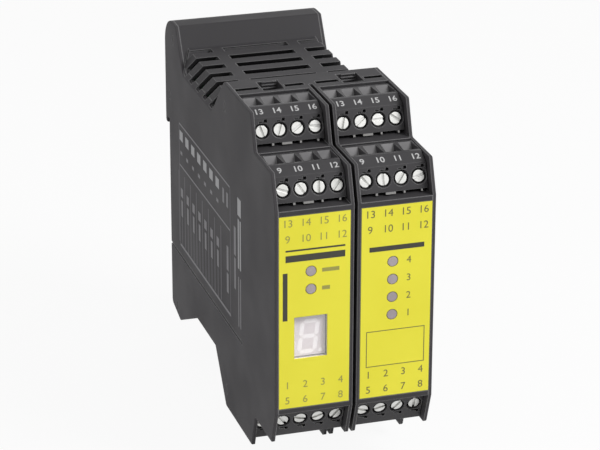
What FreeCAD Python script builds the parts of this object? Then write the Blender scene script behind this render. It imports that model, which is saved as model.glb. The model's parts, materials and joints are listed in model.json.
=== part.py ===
import FreeCAD, Part
import math
import os

# Safety relay for a 35 mm top-hat rail: two 22.5 mm terminal bays on one 45 mm wide housing.
# Frame: X to the right, -Y towards the front, +Z up. The origin is the middle of the rail seat,
# so the front face lies at y = -rail_depth. Depths below are counted back from the front face.

# ---- driving dimensions, mm ----
# housing
bay_width = 22.5            # one terminal bay, half of the housing
half_height = 49.5          # rail centre line to the top or bottom edge
rail_depth = 110.5          # front face to the rail seat
hook_depth = 4.0            # rear block standing behind the rail seat
cover_thick = 1.0           # flat side covers
rim_round = 0.35            # rounded outer rim of the side covers
centre_gap = 1.0            # open gap between the two bays
centre_wall = 0.95          # wall on each side of that gap
gap_end = 41.0              # depth at which the gap closes
wall = 1.5                  # general moulded wall
corner_round = 0.8          # corners of the outline
front_round = 0.5           # corners at the front face
clear = 1.0                 # cutting tools run this far past what they cut

# stepped terminal rows
lean_run = 3.5              # how far a terminal row's side edge leans back
row_depth = 19.4            # second terminal row behind the first
terminal_end = 49.4         # depth at which the terminal top ends
top_rim = 0.4               # terminal top above the upper row of plugs
run_out = 45.0              # slope of the front end of the vent recess, degrees

# vented top and rear block
vent_drop = 6.0             # vented top below the terminal top
chamfer_width = 2.9         # bevel along both sides of the vented top
chamfer_drop = 7.0
block_top = 12.7            # length of the rear block's top
block_lean = 58.0           # slope of the rear block's front, degrees
block_round = 8.0           # rounding of the rear block's top edge
vent_rows = 6
vent_slot = 3.2
vent_first = 2.6            # recess's front end to the middle of the first row
vent_final = 3.5            # middle of the last row to the recess's rear end
vent_inner = 9.8            # half length of the middle slots
vent_bar = 3.5              # plain bar between two groups of slots
vent_margin = 1.2           # slots to the recess's sloping ends
low_vent_rows = 3           # plain slots through the underside
low_vent_slot = 3.0
low_vent_pitch = 6.0
low_vent_half = 6.5         # half length of one slot
low_vent_place = 15.4       # middle of the outer slots
low_vent_start = 4.0        # first row behind the start of the raised underside

# rail seat and foot
rail_height = 35.0          # height of the rail that the seat takes
rail_play = 0.3
flange_slot = 2.1           # slot behind the seat that takes the rail's flange
lip_height = 1.8            # how far the hook reaches over the flange
hook_round = 1.0
foot_drop = 35.3            # raised underside in front of the foot
foot_run = 11.1             # terminal end to the start of the raised underside
heel_run = 9.5              # lowest point of the foot to the rail seat
foot_slope = 20.0           # raised underside to the lowest point of the foot
foot_low = 44.5
heel_low = 42.0
heel_round = 2.0
foot_round = 1.0

# release pocket and slots on the terminal top
release_left = 2.4          # pocket's sides from the bay's centre line
release_right = 3.6
release_start = 1.1         # pocket behind the upper well
release_length = 7.8
release_drop = 2.7          # the floor falls by this much towards the rear
release_shell = 0.9
ridge_count = 3             # ridges on the pocket's rear wall
ridge_height = 0.45
ridge_out = 0.5
ridge_left = 0.9
ridge_right = 3.3
release_slot = 1.8          # through slots beside the pocket
release_slot_start = 2.9
release_slot_gap = 0.7

# grooves and snap windows of the side covers
groove_width = 0.9
groove_sink = 0.4
groove_level = -22.6        # long groove along both side covers
groove_start = 11.0         # groove behind the wall of the second row
snap_width = 0.8
snap_height = 3.0
snap_terminal_in = 1.2      # snap windows in front of the terminal end
snap_upper_down = 6.8       # below the top edge
snap_lower_up = 5.9         # above the bottom edge
snap_seat_in = 0.9          # one in front of the rail seat
snap_seat_up = 8.0
snap_block_in = 3.2         # one at the rear block
snap_block_down = 5.3
snap_foot_in = 3.0          # one at the foot
snap_foot_down = 5.6

# front plates, lights and display
front_plate_thick = 1.5
front_lip = 1.5             # lip above and below the front plates
plate_play = 0.1
front_rim = 1.8             # ledge that the front plate rests on
light_diameter = 2.8
light_offset = -1.0         # column of lights beside the bay's centre line
light_top = 11.7
light_pitch = 5.17
light_play = 0.15
window_width = 9.3
window_height = 12.2
window_level = -7.4
display_play = 0.3          # display's face to its window

# terminal plugs
poles = 4
plug_side_play = 0.28       # plug to the well's side walls
plug_floor_play = 0.4
plug_top_play = 0.2         # plug's top to the next well's floor
plug_back_play = 1.0
plug_recess = 2.9           # plug's foot behind the front edge of its side walls
plug_length = 14.6
plug_height = 9.2
plug_face_height = 7.3
plug_strip_run = 3.8        # sloping strip that carries the terminal numbers
lower_face_height = 8.9     # the lower plugs' face runs on to a short bevel
lower_strip_run = 0.8
edge_round = 0.3
plug_ledge = 0.65           # height of the open ledge under the face
plug_ledge_depth = 2.2
coding_ribs = ((-0.95, 0.6), (-0.16, 2.8), (0.61, 0.5), (1.59, 0.5))   # (place in poles, width)
funnel_web = 0.5125         # wall between two wire funnels at the front of their mouths
funnel_taper = 0.9          # the mouths are narrower by this at the rear
funnel_length = 6.2
funnel_rim = 1.0            # number strip to the funnels
funnel_depth = 3.0
wire_hole = 2.8
wire_hole_depth = 12.2      # wire hole behind the front face
screw_head = 3.2
screw_head_height = 1.5
screw_web = 0.8125          # wall between two screw holes
screw_rim = 0.22            # bevelled rim of the screw hole
screw_sink = 0.4            # head below the plug's face
screw_slot = 0.7
screw_slot_depth = 0.6
screw_shank = 2.4
screw_length = 5.6
screw_up = 4.1              # screw's middle up the leaning face from its foot
screw_play = 0.1
screw_end_play = 0.3
test_hole = 0.9
test_hole_side = 1.25
test_hole_up = 2.65
test_hole_depth = 2.0
test_slit = 1.5             # shallow slit beside the test hole
test_slit_height = 0.4
test_slit_depth = 0.5
cage_width = 3.7
cage_length = 5.6
cage_height = 5.3
cage_wall = 0.6
cage_level = 1.0            # cage above the plug's underside
tube_size = 2.3             # spring contact behind the cage
tube_end_play = 0.4         # spring contact to the plug's back
pin_size = 1.0
pin_play = 0.25
pin_hole = 1.5
pin_tip_play = 0.3          # pin's tip to the cage
header_length = 5.5
header_height = 6.0
header_end = 0.3            # header's moulding beyond its last pin

# boards and what is soldered on them
board_thick = 1.2
board_play = 0.7            # main board's edge to the housing's inside
board_gap = 0.2             # main board behind the front board
front_board_depth = 8.0
front_board_play = 0.4
front_board_end = 4.0       # front board shorter than its plate at each end
relay_length = 14.0
relay_height = 27.0
relay_rise = 15.0
relay_gap = 2.0
relay_start = 8.6           # first pair of relays behind the terminal end
relay_level = 3.5           # middle of the relay block
relay_bevel = 0.6
converter_size = 17.0
converter_rise = 13.0
converter_start = 26.1      # transformer's front behind the terminal end
converter_level = 10.0
bobbin_thick = 1.5
core_in = 2.5
coil_in = 3.0
coil_drop = 3.0
capacitor_radius = 5.0
capacitor_rise = 14.0
capacitor_start = 34.6
capacitor_level = -16.0
capacitor_pitch = 12.0
crimp_rise = 1.5            # pressed groove round the can
crimp_width = 0.8
crimp_sink = 0.5
chip_size = 12.0
chip_height = 1.6
chip_stand = 0.2
chip_start = 16.6
chip_level = 8.0
chip_pitch = 18.0
chip_legs = 8
leg_out = 1.2
leg_width = 0.6
leg_height = 1.0
link_start = 0.6
link_length = 4.0
link_height = 24.0
link_level = 2.0
link_notch = 1.0

# rail latch
latch_width = 12.0
latch_thick = 6.0
latch_play = 0.3
latch_rib = 1.2             # guide ribs on the latch's sides
latch_rib_rise = 8.0        # ribs above the latch's lower end
latch_tail = 49.0           # lower end of the latch, below the rail's middle
latch_head = 1.5            # latch above its ledge
latch_lip = 1.8             # lip behind the flange
latch_lip_depth = 2.0       # outer face of the lip
latch_lip_root = 3.5
latch_round = 1.0
channel_head = 4.0          # channel above the ledge of the latch
channel_foot = 1.5          # lower end of the channel's thick wall
guide_wall = 2.0
pocket_head = 5.0           # ledge to the top of the spring's pocket
pocket_play = 0.4
pocket_floor = 1.2
shelf_thick = 1.6
shelf_play = 1.0
tool_width = 4.4            # opening for a screwdriver in the latch's tail
tool_height = 2.2
tool_rise = 1.8
spring_outer = 4.4
spring_wire = 0.5
spring_turns = 6
spring_rest = 11.0          # length of the spring with the latch at rest


# ---- derived sizes ----
half_width = bay_width
inner_side = half_width - cover_thick          # inner face of the side covers
bay_inner = centre_gap / 2 + centre_wall       # bay side of the centre wall
bay_centre = (inner_side + bay_inner) / 2
bay_inside = inner_side - bay_inner
pole_pitch = bay_inside / poles                # the poles share the bay's width
screw_hole = pole_pitch - screw_web
funnel_front = pole_pitch - funnel_web
funnel_rear = funnel_front - funnel_taper
row_rise = plug_floor_play + plug_height + plug_top_play
face_half = half_height - top_rim - 2 * row_rise
step_level = face_half + row_rise              # floor of the upper well
front_plate_half = face_half - front_lip
front_board_half = front_plate_half - front_board_end
well_depth = plug_recess + plug_length + plug_back_play
well_end = well_depth + row_depth              # back of the upper well
top_run = lean_run + row_depth
rear = rail_depth + hook_depth
block_depth = rear - block_top                 # front edge of the rear block's top
vent_level = half_height - vent_drop
dip_level = vent_level - chamfer_drop
run_slope = math.tan(math.radians(run_out))
block_slope = math.tan(math.radians(block_lean))
recess_front = terminal_end + vent_drop / run_slope
recess_back = block_depth - vent_drop / block_slope
vent_start = recess_front + vent_first
vent_pitch = (recess_back - vent_final - vent_start) / (vent_rows - 1)
foot_depth = rail_depth - heel_run
foot_mid = foot_depth - foot_slope
foot_front = terminal_end + foot_run
seat_edge = rail_height / 2 + rail_play
plug_half = bay_inside / 2 - plug_side_play
lean_angle = math.atan2(lean_run, row_rise)
face_run = math.tan(lean_angle)                # how far the face leans back per mm of height
plug_foot = face_half + plug_floor_play        # underside of the first plug
plug_top = plug_foot + plug_height
plug_back = plug_recess + plug_length
funnel_start = plug_recess + plug_face_height * face_run + plug_strip_run + funnel_rim
well_wall_back = well_depth + wall
header_back = well_wall_back + header_length
pin_level = plug_foot + cage_level + cage_height / 2
cage_front = wire_hole_depth - cage_length / 2
cage_back = cage_front + cage_length
tube_back = plug_back - tube_end_play
board_side = bay_centre + (poles - 1) / 2 * pole_pitch + pin_size / 2 + header_end
release_front = well_end + release_start
release_back = release_front + release_length
latch_half = latch_width / 2
latch_back = rail_depth - latch_play           # rear face of the latch
latch_front = latch_back - latch_thick
channel_half = latch_half + latch_play
channel_front = latch_front - latch_play
channel_top = seat_edge - channel_head
rib_front = latch_front + latch_thick / 3
rib_back = latch_front + 2 * latch_thick / 3
spring_pocket_top = -(seat_edge + pocket_head)
spring_seat = spring_pocket_top - spring_rest  # fixed lower end of the spring
spring_half = spring_outer / 2


def at_depth(depth):
    """The y of a depth counted back from the front face."""
    return depth - rail_depth


def box(x0, x1, d0, d1, z0, z1):
    """Box between two x, two depths and two heights."""
    corner = FreeCAD.Vector(x0, at_depth(d0), z0)
    return Part.makeBox(x1 - x0, d1 - d0, z1 - z0, corner)


def rounded_wire(points):
    """Closed wire through (depth, z, radius) corners in the plane x = 0."""
    corners = [FreeCAD.Vector(0, at_depth(p[0]), p[1]) for p in points]
    count = len(points)
    edges = []
    ends = []
    for i, here in enumerate(corners):
        radius = points[i][2] if len(points[i]) > 2 else 0
        to_last = (corners[i - 1] - here).normalize()
        to_next = (corners[(i + 1) % count] - here).normalize()
        if radius:
            half_turn = to_last.getAngle(to_next) / 2
            reach = radius / math.tan(half_turn)
            start = here + to_last * reach
            end = here + to_next * reach
            middle_dir = (to_last + to_next).normalize()
            middle = here + middle_dir * (radius / math.sin(half_turn) - radius)
            ends.append((start, end, middle))
        else:
            ends.append((here, here, None))
    for i, (start, end, middle) in enumerate(ends):
        if middle:
            edges.append(Part.Arc(start, middle, end).toShape())
        next_start = ends[(i + 1) % count][0]
        if (next_start - end).Length > 1e-6:
            edges.append(Part.makeLine(end, next_start))
    return Part.Wire(edges)


def prism(points, x0, x1):
    """Side outline of (depth, z) or (depth, z, radius) corners, extruded from x0 to x1."""
    face = Part.Face(rounded_wire(points))
    solid = face.extrude(FreeCAD.Vector(x1 - x0, 0, 0))
    solid.translate(FreeCAD.Vector(x0, 0, 0))
    return solid


def upside_down(shape):
    return shape.mirror(FreeCAD.Vector(0, 0, 0), FreeCAD.Vector(0, 0, 1))


def left_right(shape):
    return shape.mirror(FreeCAD.Vector(0, 0, 0), FreeCAD.Vector(1, 0, 0))


def moved(shape, x, depth, z):
    copy = shape.copy()
    copy.translate(FreeCAD.Vector(x, depth, z))
    return copy


def cylinder(radius, start, end):
    """Round bar between two (x, depth, z) points."""
    a = FreeCAD.Vector(start[0], at_depth(start[1]), start[2])
    b = FreeCAD.Vector(end[0], at_depth(end[1]), end[2])
    return Part.makeCylinder(radius, (b - a).Length, a, b - a)


def save(shape, node):
    shape.exportStep("parts/" + node + ".step")


# ---- housing outline, seen from the side ----
def housing_outline():
    """Stepped terminal rows at both ends, a vent recess on top and a rail seat at the back."""
    return [
        (0, face_half, front_round),
        (lean_run, step_level, corner_round),
        (row_depth, step_level, corner_round),
        (top_run, half_height, corner_round),
        (terminal_end, half_height, corner_round),
        (recess_front, vent_level, corner_round),
        (recess_back, vent_level, corner_round),
        (block_depth, half_height, corner_round),
        (rear, half_height, block_round),
        (rear, seat_edge - lip_height, hook_round),
        (rail_depth + flange_slot, seat_edge - lip_height, rail_play),
        (rail_depth + flange_slot, seat_edge),
        (rail_depth, seat_edge),
        (rail_depth, -heel_low, heel_round),
        (foot_depth, -foot_low, foot_round),
        (foot_mid, -foot_drop, foot_round),
        (foot_front, -foot_drop, foot_round),
        (terminal_end, -half_height, corner_round),
        (top_run, -half_height, corner_round),
        (row_depth, -step_level, corner_round),
        (lean_run, -step_level, corner_round),
        (0, -face_half, front_round),
    ]


def between_slopes(margin, low, high):
    """Space over the vent recess between its sloping ends, `margin` clear of both."""
    ends = []
    for level in (low, high):
        drop = half_height - level
        first = terminal_end + drop / run_slope + margin
        last = block_depth - drop / block_slope - margin
        ends.append((first, last, level))
    lower, upper = ends
    corners = [(lower[0], low), (lower[1], low), (upper[1], high), (upper[0], high)]
    return prism(corners, -half_width - clear, half_width + clear)


def side_bevel(inset):
    """Wedge off the right top edge of the vent recess; a larger `inset` cuts nearer the middle."""
    slope = chamfer_width / chamfer_drop
    over = chamfer_width + clear
    x_in = half_width - chamfer_width - inset
    start = at_depth(terminal_end)
    outer = half_width + over
    corners = [
        (x_in - over * slope, vent_level + over),
        (x_in + (chamfer_drop + over) * slope, dip_level - over),
        (outer, dip_level - over),
        (outer, vent_level + over),
    ]
    points = [FreeCAD.Vector(x, start, z) for x, z in corners]
    section = Part.Face(Part.makePolygon(points + points[:1]))
    wedge = section.extrude(FreeCAD.Vector(0, block_depth - terminal_end, 0))
    low = dip_level - over if inset else dip_level
    return wedge.common(between_slopes(-inset, low, half_height + clear))


def slanted_slot(depth, run, level, drop, x0, x1):
    """Slot from x0 to x1 that runs down and back at 45 degrees from a level surface."""
    return prism([
        (depth - clear, level + clear),
        (depth + run - clear, level + clear),
        (depth + run + drop, level - drop),
        (depth + drop, level - drop),
    ], x0, x1)


def vent_slots():
    """Slanted slots: a middle group, and one at each side that runs on down the bevel."""
    outer_start = vent_inner + vent_bar
    cuts = []
    for row in range(vent_rows):
        depth = vent_start + row * vent_pitch - vent_slot / 2
        drop = chamfer_drop + clear
        side = slanted_slot(depth, vent_slot, vent_level, drop, outer_start, half_width + clear)
        cuts.append(slanted_slot(depth, vent_slot, vent_level, drop, -vent_inner, vent_inner))
        cuts += [side, left_right(side)]
    slots = cuts[0].multiFuse(cuts[1:])
    low = dip_level + vent_margin / 2
    return slots.common(between_slopes(vent_margin, low, vent_level + clear))


def lower_vents():
    """Plain slots through the underside in front of the foot."""
    cuts = []
    for row in range(low_vent_rows):
        depth = foot_front + low_vent_start + row * low_vent_pitch
        d0 = depth - low_vent_slot / 2
        for side in (-1, 0, 1):
            x0 = side * low_vent_place - low_vent_half
            x1 = x0 + 2 * low_vent_half
            cuts.append(box(x0, x1, d0, d0 + low_vent_slot, -foot_drop - clear, -foot_drop + wall + clear))
    return cuts[0].multiFuse(cuts[1:])


def inside_outline(inset):
    """Hollow of the housing, kept `inset` clear of its outline."""
    back = rail_depth - inset
    cut_front = inset * math.tan(math.radians(run_out / 2))
    cut_back = inset * math.tan(math.radians(block_lean / 2))
    front = front_plate_thick + inset
    first_back = well_depth + inset
    second_back = well_end + inset
    return [
        (front, face_half - inset),
        (first_back, face_half - inset),
        (first_back, step_level - inset),
        (second_back, step_level - inset),
        (second_back, half_height - inset),
        (terminal_end - cut_front, half_height - inset),
        (recess_front - cut_front, vent_level - inset),
        (recess_back + cut_back, vent_level - inset),
        (block_depth + cut_back, half_height - inset),
        (rail_depth - block_round / 2, half_height - inset),
        (back, half_height - inset - block_round / 2),
        (back, -heel_low + inset),
        (foot_depth, -foot_low + inset),
        (foot_mid, -foot_drop + inset),
        (foot_front - inset / 2, -foot_drop + inset),
        (terminal_end - inset / 2, -half_height + inset),
        (second_back, -half_height + inset),
        (second_back, -step_level + inset),
        (first_back, -step_level + inset),
        (first_back, -face_half + inset),
        (front, -face_half + inset),
    ]


def wells():
    """Open stairs for the two rows of plugs, above and below, in one bay."""
    stairs = prism([
        (-clear, face_half),
        (well_depth, face_half),
        (well_depth, step_level),
        (well_end, step_level),
        (well_end, half_height + clear),
        (-clear, half_height + clear),
    ], bay_inner, inner_side)
    return [stairs, upside_down(stairs)]


def pole_x(index):
    """Place of a terminal pole across its bay, from the bay's centre line."""
    return (index - (poles - 1) / 2) * pole_pitch


def row_places():
    """(name, x, depth, rise, upside down) of the eight plugs."""
    places = []
    for side, x in (("left", -bay_centre), ("right", bay_centre)):
        for end, flip in (("top", False), ("bottom", True)):
            for row, steps in (("front", 0), ("rear", 1)):
                name = "_".join((side, end, row))
                places.append((name, x, steps * row_depth, steps * row_rise, flip))
    return places


def placed(shape, place):
    """A piece of the first upper row, set where its own row is."""
    x, depth, rise, flip = place[1:]
    piece = moved(shape, x, depth, rise)
    return upside_down(piece) if flip else piece


# ---- housing body ----
def pin_windows():
    """Square holes through the backs of the wells, one for each contact pin."""
    half = pin_hole / 2
    holes = []
    for index in range(poles):
        x = pole_x(index)
        z0 = pin_level - half
        hole = box(x - half, x + half, well_depth - clear, well_wall_back + clear, z0, z0 + pin_hole)
        holes.append(hole)
    windows = holes[0].multiFuse(holes[1:])
    return [placed(windows, place) for place in row_places()]


def front_panel_window():
    """Opening in the panel behind a front plate, leaving a rim for the plate."""
    half = front_plate_half - front_rim
    back = front_plate_thick + wall + clear
    return box(bay_inner + front_rim, inner_side - front_rim, 0, back, -half, half)


def plate_space():
    return box(bay_inner, inner_side, -clear, front_plate_thick, -front_plate_half, front_plate_half)


def release_pocket(shell):
    """Pocket for a screwdriver, its floor falling towards the rear; `shell` makes its outside."""
    if shell:
        top = half_height - wall / 2
        front = release_front + shell
    else:
        top = half_height + clear
        front = release_front
    return prism([
        (front, half_height - shell),
        (release_back + shell, half_height - release_drop - shell),
        (release_back + shell, top),
        (front, top),
    ], -release_left - shell, release_right + shell)


def release_ridges():
    """Ridges for the blade on the rear wall of the pocket."""
    ridges = []
    spacing = release_drop / ridge_count
    for index in range(ridge_count):
        z1 = half_height - index * spacing
        d0 = release_back - ridge_out
        ridges.append(box(-ridge_left, ridge_right, d0, release_back + ridge_out, z1 - ridge_height, z1))
    return ridges[0].multiFuse(ridges[1:])


def release_slots():
    """Slots through the top on both sides of the pocket, which leave its front springy."""
    depth = well_end + release_slot_start
    drop = wall + clear
    near = release_left + release_slot_gap
    far = release_right + release_slot_gap
    left = slanted_slot(depth, release_slot, half_height, drop, -plug_half, -near)
    right = slanted_slot(depth, release_slot, half_height, drop, far, plug_half)
    return left.fuse(right)


def latch_guide():
    """Thick part of the back wall round the latch's channel."""
    half = channel_half + latch_rib + guide_wall
    front = channel_front - guide_wall
    return prism([
        (front, -channel_top + guide_wall),
        (rail_depth, -channel_top + guide_wall),
        (rail_depth, -heel_low),
        (foot_depth, -foot_low),
        (front, -foot_low + channel_foot),
    ], -half, half)


def latch_channel():
    """T-shaped channel, open to the back and the bottom, that the latch slides in."""
    low = -half_height - clear
    main = box(-channel_half, channel_half, channel_front, rail_depth + clear, low, -channel_top)
    half = channel_half + latch_rib
    side = box(-half, half, rib_front - latch_play, rib_back + latch_play, low, -channel_top)
    return main.fuse(side)


def spring_shelf():
    """Ledge in the channel that carries the spring's lower end, inside the latch's slot."""
    half = spring_half - pocket_play
    back = latch_back - shelf_thick
    return box(-half, half, channel_front - clear, back, spring_seat - shelf_thick, spring_seat)


def housing_body(envelope):
    beyond = half_height + clear
    body = envelope.common(box(-inner_side, inner_side, -clear, rear + clear, -beyond, beyond))
    bevel = side_bevel(wall)
    hollow = prism(inside_outline(wall), -inner_side - clear, inner_side + clear)
    hollow = hollow.cut([bevel, left_right(bevel)])
    keep = box(-bay_inner, bay_inner, -clear, gap_end + wall, -beyond, beyond)
    body = body.cut(hollow.cut(keep))
    bays = (-bay_centre, bay_centre)
    shells = [moved(release_pocket(release_shell), x, 0, 0) for x in bays]
    body = body.fuse([latch_guide()] + shells)
    gap = box(-centre_gap / 2, centre_gap / 2, -clear, gap_end, -beyond, beyond)
    cuts = [gap, vent_slots(), lower_vents(), latch_channel()]
    for cut in wells() + [front_panel_window(), plate_space()]:
        cuts += [cut, left_right(cut)]
    for x in bays:
        cuts += [moved(release_pocket(0), x, 0, 0), moved(release_slots(), x, 0, 0)]
    body = body.cut(cuts + pin_windows())
    ridges = [moved(release_ridges(), x, 0, 0) for x in bays]
    return body.fuse(ridges + [spring_shelf()]).removeSplitter()


def side_cover(envelope):
    """Right-hand flat cover with a rounded rim, a long groove and the windows of its snap hooks."""
    beyond = half_height + clear
    cover = envelope.common(box(inner_side, half_width + clear, -clear, rear + clear, -beyond, beyond))
    rim = [edge for edge in cover.Edges if edge.BoundBox.XMin > half_width - 1e-4]
    cover = cover.makeFillet(rim_round, rim)
    x0 = half_width - groove_sink
    x1 = half_width + clear
    start = row_depth + wall + groove_start
    cuts = [box(x0, x1, start, rail_depth + clear, groove_level, groove_level + groove_width)]
    snaps = [
        (terminal_end - snap_terminal_in, half_height - snap_upper_down),
        (terminal_end - snap_terminal_in, -half_height + snap_lower_up),
        (rail_depth - snap_seat_in, seat_edge + snap_seat_up),
        (block_depth + snap_block_in, half_height - snap_block_down),
        (foot_depth + snap_foot_in, -foot_drop - snap_foot_down),
    ]
    for depth, level in snaps:
        d0 = depth - snap_width / 2
        z0 = level - snap_height / 2
        cuts.append(box(x0, x1, d0, d0 + snap_width, z0, z0 + snap_height))
    return cover.cut(cuts + [vent_slots()])


# ---- fronts, lights and display ----
def light_levels(count):
    return [light_top - light_pitch * index for index in range(count)]


def front_plate(side, lights, with_window):
    """Flat plate between the walls of one bay, with holes for its lights and display."""
    x0 = side * bay_centre - bay_inside / 2 + plate_play
    x1 = x0 + bay_inside - 2 * plate_play
    half = front_plate_half - plate_play
    plate = box(x0, x1, 0, front_plate_thick, -half, half)
    centre = side * bay_centre + light_offset
    back = front_plate_thick + clear
    radius = light_diameter / 2 + light_play
    cuts = [cylinder(radius, (centre, -clear, z), (centre, back, z)) for z in light_levels(lights)]
    if with_window:
        w = window_width / 2
        z0 = window_level - window_height / 2
        cuts.append(box(centre - w, centre + w, -clear, back, z0, z0 + window_height))
    return plate.cut(cuts)


def status_lights(side, lights):
    """Round light guides from the front board to the plate, one solid each."""
    x = side * bay_centre + light_offset
    radius = light_diameter / 2
    guides = [cylinder(radius, (x, 0, z), (x, front_board_depth, z)) for z in light_levels(lights)]
    return Part.makeCompound(guides)


def behind_window(play, d0, d1):
    """Block behind the display's window, `play` smaller than it on every side."""
    centre = -bay_centre + light_offset
    w = window_width / 2 - play
    h = window_height / 2 - play
    return box(centre - w, centre + w, d0, d1, window_level - h, window_level + h)


def front_board():
    """Board behind the front plate of the right bay."""
    x0 = bay_inner + front_board_play
    x1 = inner_side - front_board_play
    back = front_board_depth + board_thick
    return box(x0, x1, front_board_depth, back, -front_board_half, front_board_half)


# ---- boards and what is soldered on them ----
def main_board():
    """Board of the right bay, standing along the side cover and stepped like the housing."""
    inset = wall + board_play
    start = front_board_depth + board_thick + board_gap
    outline = [(max(depth, start), level) for depth, level in inside_outline(inset)]
    board = prism(outline, board_side, board_side + board_thick)
    return board.cut(side_bevel(inset))


def output_relay(column, row):
    """Sealed relay with forcibly guided contacts, on the right board."""
    d0 = terminal_end + relay_start + column * (relay_length + relay_gap)
    z0 = relay_level + relay_gap / 2 if row else relay_level - relay_gap / 2 - relay_height
    x0 = board_side - relay_rise
    body = box(x0, board_side, d0, d0 + relay_length, z0, z0 + relay_height)
    edges = [edge for edge in body.Edges if edge.BoundBox.XMax < x0 + 1e-4]
    return body.makeChamfer(relay_bevel, edges)


def power_converter():
    """Small transformer of the supply: a wound core on a bobbin, on the left board."""
    foot = -board_side
    head = foot + converter_rise
    d0 = terminal_end + converter_start
    d1 = d0 + converter_size
    z0 = converter_level - converter_size / 2
    z1 = z0 + converter_size
    bobbin = box(foot, foot + bobbin_thick, d0, d1, z0, z1)
    core = box(foot, head, d0 + core_in, d1 - core_in, z0, z1)
    coil = box(foot, head - coil_drop, d0, d1, z0 + coil_in, z1 - coil_in)
    return bobbin.fuse([core, coil]).removeSplitter()


def capacitor(index):
    """Upright can with a pressed groove near its foot, on the left board."""
    depth = terminal_end + capacitor_start - index * capacitor_pitch
    foot = -board_side

    def can(radius, low, high):
        start = (foot + low, depth, capacitor_level)
        end = (foot + high, depth, capacitor_level)
        return cylinder(radius, start, end)

    crimp_top = crimp_rise + crimp_width
    waist = can(capacitor_radius - crimp_sink, crimp_rise, crimp_top)
    ring = can(capacitor_radius + clear, crimp_rise, crimp_top).cut(waist)
    return can(capacitor_radius, 0, capacitor_rise).cut(ring)


def controller_chip(index):
    """Flat logic chip with a row of legs on two sides, on the left board."""
    half = chip_size / 2
    depth = terminal_end + chip_start
    z0 = chip_level + index * chip_pitch - half
    x0 = -board_side
    base = x0 + chip_stand
    body = box(base, base + chip_height, depth - half, depth + half, z0, z0 + chip_size)
    reach = half + leg_out
    legs = []
    for leg in range(chip_legs):
        low = z0 + (leg + 0.5) * chip_size / chip_legs - leg_width / 2
        legs.append(box(x0, x0 + leg_height, depth - reach, depth + reach, low, low + leg_width))
    return body.fuse(legs).removeSplitter()


def board_link():
    """Plug connector that joins the two main boards across the housing."""
    z0 = link_level - link_height / 2
    z1 = z0 + link_height
    d0 = terminal_end + link_start
    link = box(-board_side, board_side, d0, d0 + link_length, z0, z1)
    half = board_side / 2
    notch = box(-half, half, d0 - clear, d0 + link_notch, z0 - clear, z1 + clear)
    return link.cut(notch)


# ---- terminals, drawn for the first upper row ----
def on_face(along, sink):
    """(depth, z) of a point up the plug's face and sunk square to it."""
    depth = plug_recess + along * math.sin(lean_angle) + sink * math.cos(lean_angle)
    level = plug_foot + along * math.cos(lean_angle) - sink * math.sin(lean_angle)
    return depth, level


def screw_bar(radius, x, near, far):
    """Round bar on the screw's axis, square to the plug's face, between two depths under it."""
    d0, z0 = on_face(screw_up, near)
    d1, z1 = on_face(screw_up, far)
    return cylinder(radius, (x, d0, z0), (x, d1, z1))


def screw_bevel(x):
    """Cone that bevels the rim of a screw's hole."""
    d0, z0 = on_face(screw_up, -screw_rim)
    d1, z1 = on_face(screw_up, screw_rim)
    start = FreeCAD.Vector(x, at_depth(d0), z0)
    axis = FreeCAD.Vector(x, at_depth(d1), z1) - start
    hole = screw_hole / 2
    return Part.makeCone(hole + 2 * screw_rim, hole, 2 * screw_rim, start, axis)


def funnel(x):
    """Tapered wire entry in the plug's top."""
    low = plug_top - funnel_depth
    t = wire_hole / 2

    def ring(half_front, half_rear, d0, d1, z):
        corners = [(-half_front, d0), (half_front, d0), (half_rear, d1), (-half_rear, d1)]
        points = [FreeCAD.Vector(x + px, at_depth(d), z) for px, d in corners]
        return Part.makePolygon(points + points[:1])

    mouth = ring(funnel_front / 2, funnel_rear / 2, funnel_start, funnel_start + funnel_length, plug_top)
    throat = ring(t, t, wire_hole_depth - t, wire_hole_depth + t, low)
    cone = Part.makeLoft([mouth, throat], True, True)
    hole = box(x - t, x + t, wire_hole_depth - t, wire_hole_depth + t, plug_foot + cage_level, low)
    return [cone, hole]


def test_point(x):
    """Square test hole over a screw, with the shallow slit beside it."""
    d0, z0 = on_face(screw_up + test_hole_up, 0)
    side = x + test_hole_side
    h = test_hole / 2
    hole = box(side - h, side + h, d0 - clear, d0 + test_hole_depth, z0 - h, z0 + h)
    back = d0 + test_slit_depth
    slit = box(side - h - test_slit, side, d0 - clear, back, z0 - h, z0 - h + test_slit_height)
    return hole.fuse(slit)


def plug_body(face_height, strip_run):
    """Four-pole plug: screws in its leaning face, wires from above, contacts behind."""
    half = plug_half
    face_end = plug_recess + face_height * face_run
    body = prism([
        (plug_recess, plug_foot),
        (face_end, plug_foot + face_height, edge_round),
        (face_end + strip_run, plug_top),
        (plug_back, plug_top),
        (plug_back, plug_foot),
    ], -half, half)
    ledge_end = plug_recess + plug_ledge_depth
    ledge_top = plug_foot + plug_ledge
    ledge = box(-half - clear, half + clear, plug_recess - clear, ledge_end, plug_foot - clear, ledge_top)
    ribs = []
    for place, width in coding_ribs:
        x0 = place * pole_pitch - width / 2
        ribs.append(box(x0, x0 + width, plug_recess, ledge_end + clear, plug_foot, ledge_top + clear))
    cuts = [ledge.cut(ribs)]
    cage_z = plug_foot + cage_level
    t = tube_size / 2
    w = cage_width / 2
    for index in range(poles):
        x = pole_x(index)
        cuts += funnel(x)
        cuts.append(screw_bar(screw_hole / 2, x, -clear, screw_sink + screw_head_height))
        cuts.append(screw_bar(screw_shank / 2 + screw_play, x, 0, screw_length + screw_end_play))
        cuts.append(screw_bevel(x))
        cuts.append(box(x - w, x + w, cage_front, cage_back, cage_z, cage_z + cage_height))
        cuts.append(box(x - t, x + t, cage_front, plug_back + clear, pin_level - t, pin_level + t))
        cuts.append(test_point(x))
    return body.cut(cuts)


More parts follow.
